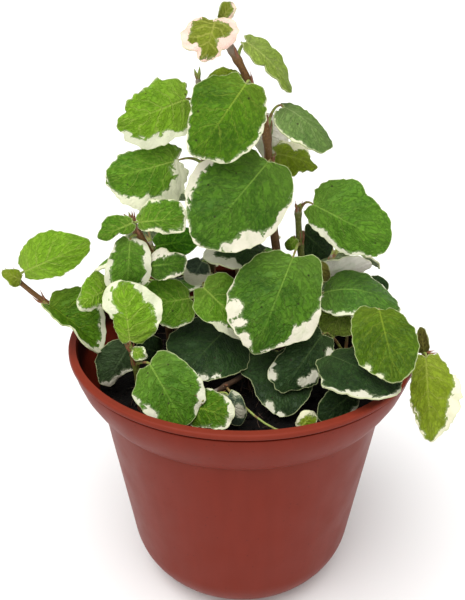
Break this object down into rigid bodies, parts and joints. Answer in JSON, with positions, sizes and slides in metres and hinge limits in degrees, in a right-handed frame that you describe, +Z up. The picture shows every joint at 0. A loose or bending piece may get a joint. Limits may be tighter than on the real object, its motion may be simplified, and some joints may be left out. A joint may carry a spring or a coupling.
{
  "type": "potted creeping fig",
  "caption": "Variegated creeping fig with cream-edged leaves on thin upright and trailing stems, growing in a round moulded plastic nursery pot.",
  "frame": {"origin": "middle of the pot's foot, in the plane that the pot stands on", "axes": "+Z up along the pot's axis; -Y towards the side that the picture shows; +X to that side's right"},
  "size_m": [0.128, 0.1075, 0.1788],
  "materials": {
    "pot": "satin moulded polypropylene, terracotta coloured",
    "soil": "loose damp peat, made of dark plant fibres",
    "foliage": "thin living leaves with a soft sheen, green with cream margins, on thin woody stems"
  },
  "bodies": {
    "root": {"pot": "pot", "soil": "soil", "stem_main": "foliage", "stem_hidden": "foliage", "stem_second": "foliage", "stem_left": "foliage", "stem_left_edge": "foliage", "stem_left_front": "foliage", "stem_front": "foliage", "stem_right": "foliage", "stem_back_left": "foliage", "stem_back": "foliage", "stem_back_right": "foliage"}
  },
  "joints": []
}
